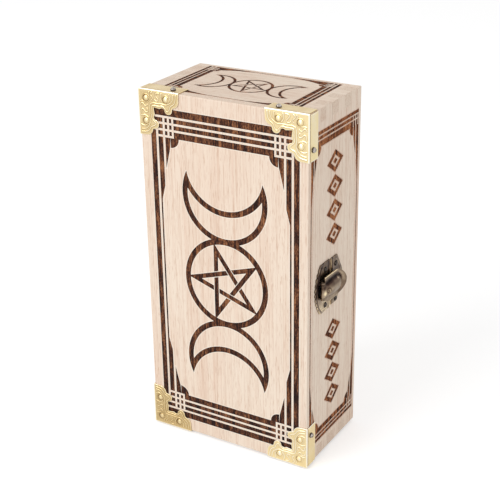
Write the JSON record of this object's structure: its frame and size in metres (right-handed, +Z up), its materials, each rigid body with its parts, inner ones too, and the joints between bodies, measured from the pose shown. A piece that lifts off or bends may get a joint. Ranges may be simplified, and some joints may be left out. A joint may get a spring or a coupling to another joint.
{
  "type": "card storage case",
  "caption": "Upright wooden card case that opens like a book on side hinges, with burnt ornament, stamped brass corners and a lift catch.",
  "frame": {"origin": "middle of the lower end face of the wooden case, on which it stands", "axes": "+X across the front towards the catch side, +Y from the front panel to the back panel, +Z up along the long side"},
  "size_m": [0.1092, 0.0592, 0.2035],
  "materials": {
    "front_wood": "bare pale wood with burnt ornament",
    "case_wood": "bare pale wood with burnt ornament",
    "corner_brass": "bright stamped brass",
    "nail_steel": "plain steel",
    "catch_bronze": "dark antique bronze",
    "catch_nail": "blackened steel"
  },
  "bodies": {
    "body": {"body_back_panel": "case_wood", "body_left_wall": "case_wood", "body_right_wall": "case_wood", "body_top_wall": "case_wood", "body_bottom_wall": "case_wood", "latch_keeper_plate": "catch_bronze", "latch_keeper_nails": "catch_nail", "upper_hinge_body_leaf": "catch_bronze", "lower_hinge_body_leaf": "catch_bronze", "upper_hinge_pin": "catch_bronze", "lower_hinge_pin": "catch_bronze", "hinge_body_nails": "catch_nail"},
    "lid": {"lid_front_panel": "front_wood", "lid_left_wall": "case_wood", "lid_right_wall": "case_wood", "lid_top_wall": "case_wood", "lid_bottom_wall": "case_wood", "bracket_top_left": "corner_brass", "bracket_top_right": "corner_brass", "bracket_bottom_left": "corner_brass", "bracket_bottom_right": "corner_brass", "bracket_nails": "nail_steel", "latch_fan_plate": "catch_bronze", "latch_fan_nails": "catch_nail", "latch_pin": "catch_bronze", "upper_hinge_lid_leaf": "catch_bronze", "lower_hinge_lid_leaf": "catch_bronze", "hinge_lid_nails": "catch_nail"},
    "latch_lever": {"latch_lever": "catch_bronze"}
  },
  "joints": [
    {"name": "lid_hinge", "type": "hinge", "parent": "body", "child": "lid", "pos_m": [-0.0514, -0.0044, 0.1], "axis": [0, 0, -1], "range_deg": [0, 180]},
    {"name": "latch_flip", "type": "hinge", "parent": "lid", "child": "latch_lever", "pos_m": [0.052, -0.0167, 0.1019], "axis": [0, 0, -1], "range_deg": [0, 110]}
  ]
}
